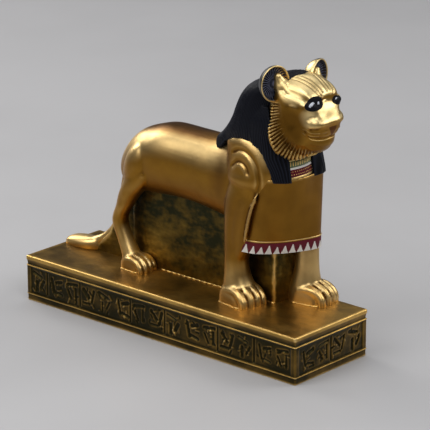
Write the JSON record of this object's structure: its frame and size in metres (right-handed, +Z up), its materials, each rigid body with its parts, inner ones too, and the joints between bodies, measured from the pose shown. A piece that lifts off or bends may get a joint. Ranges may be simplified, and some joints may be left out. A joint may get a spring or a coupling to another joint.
{
  "type": "lioness statue",
  "caption": "Desk statue of a striding lioness goddess in a long striated wig, collar and hemmed bib, cast in one with a web under the belly and an inscribed oblong plinth.",
  "frame": {"origin": "underside, below the middle of the statue's bounding box", "axes": "+X is the way the lioness faces, +Y is its left side, +Z is up"},
  "size_m": [0.2, 0.0624, 0.163],
  "materials": {
    "statue": "metallic gold paint on cast resin with black, white, red and green painted details; plinth and web antiqued dark brown"
  },
  "bodies": {
    "root": {"lioness_statue": "statue"}
  },
  "joints": []
}
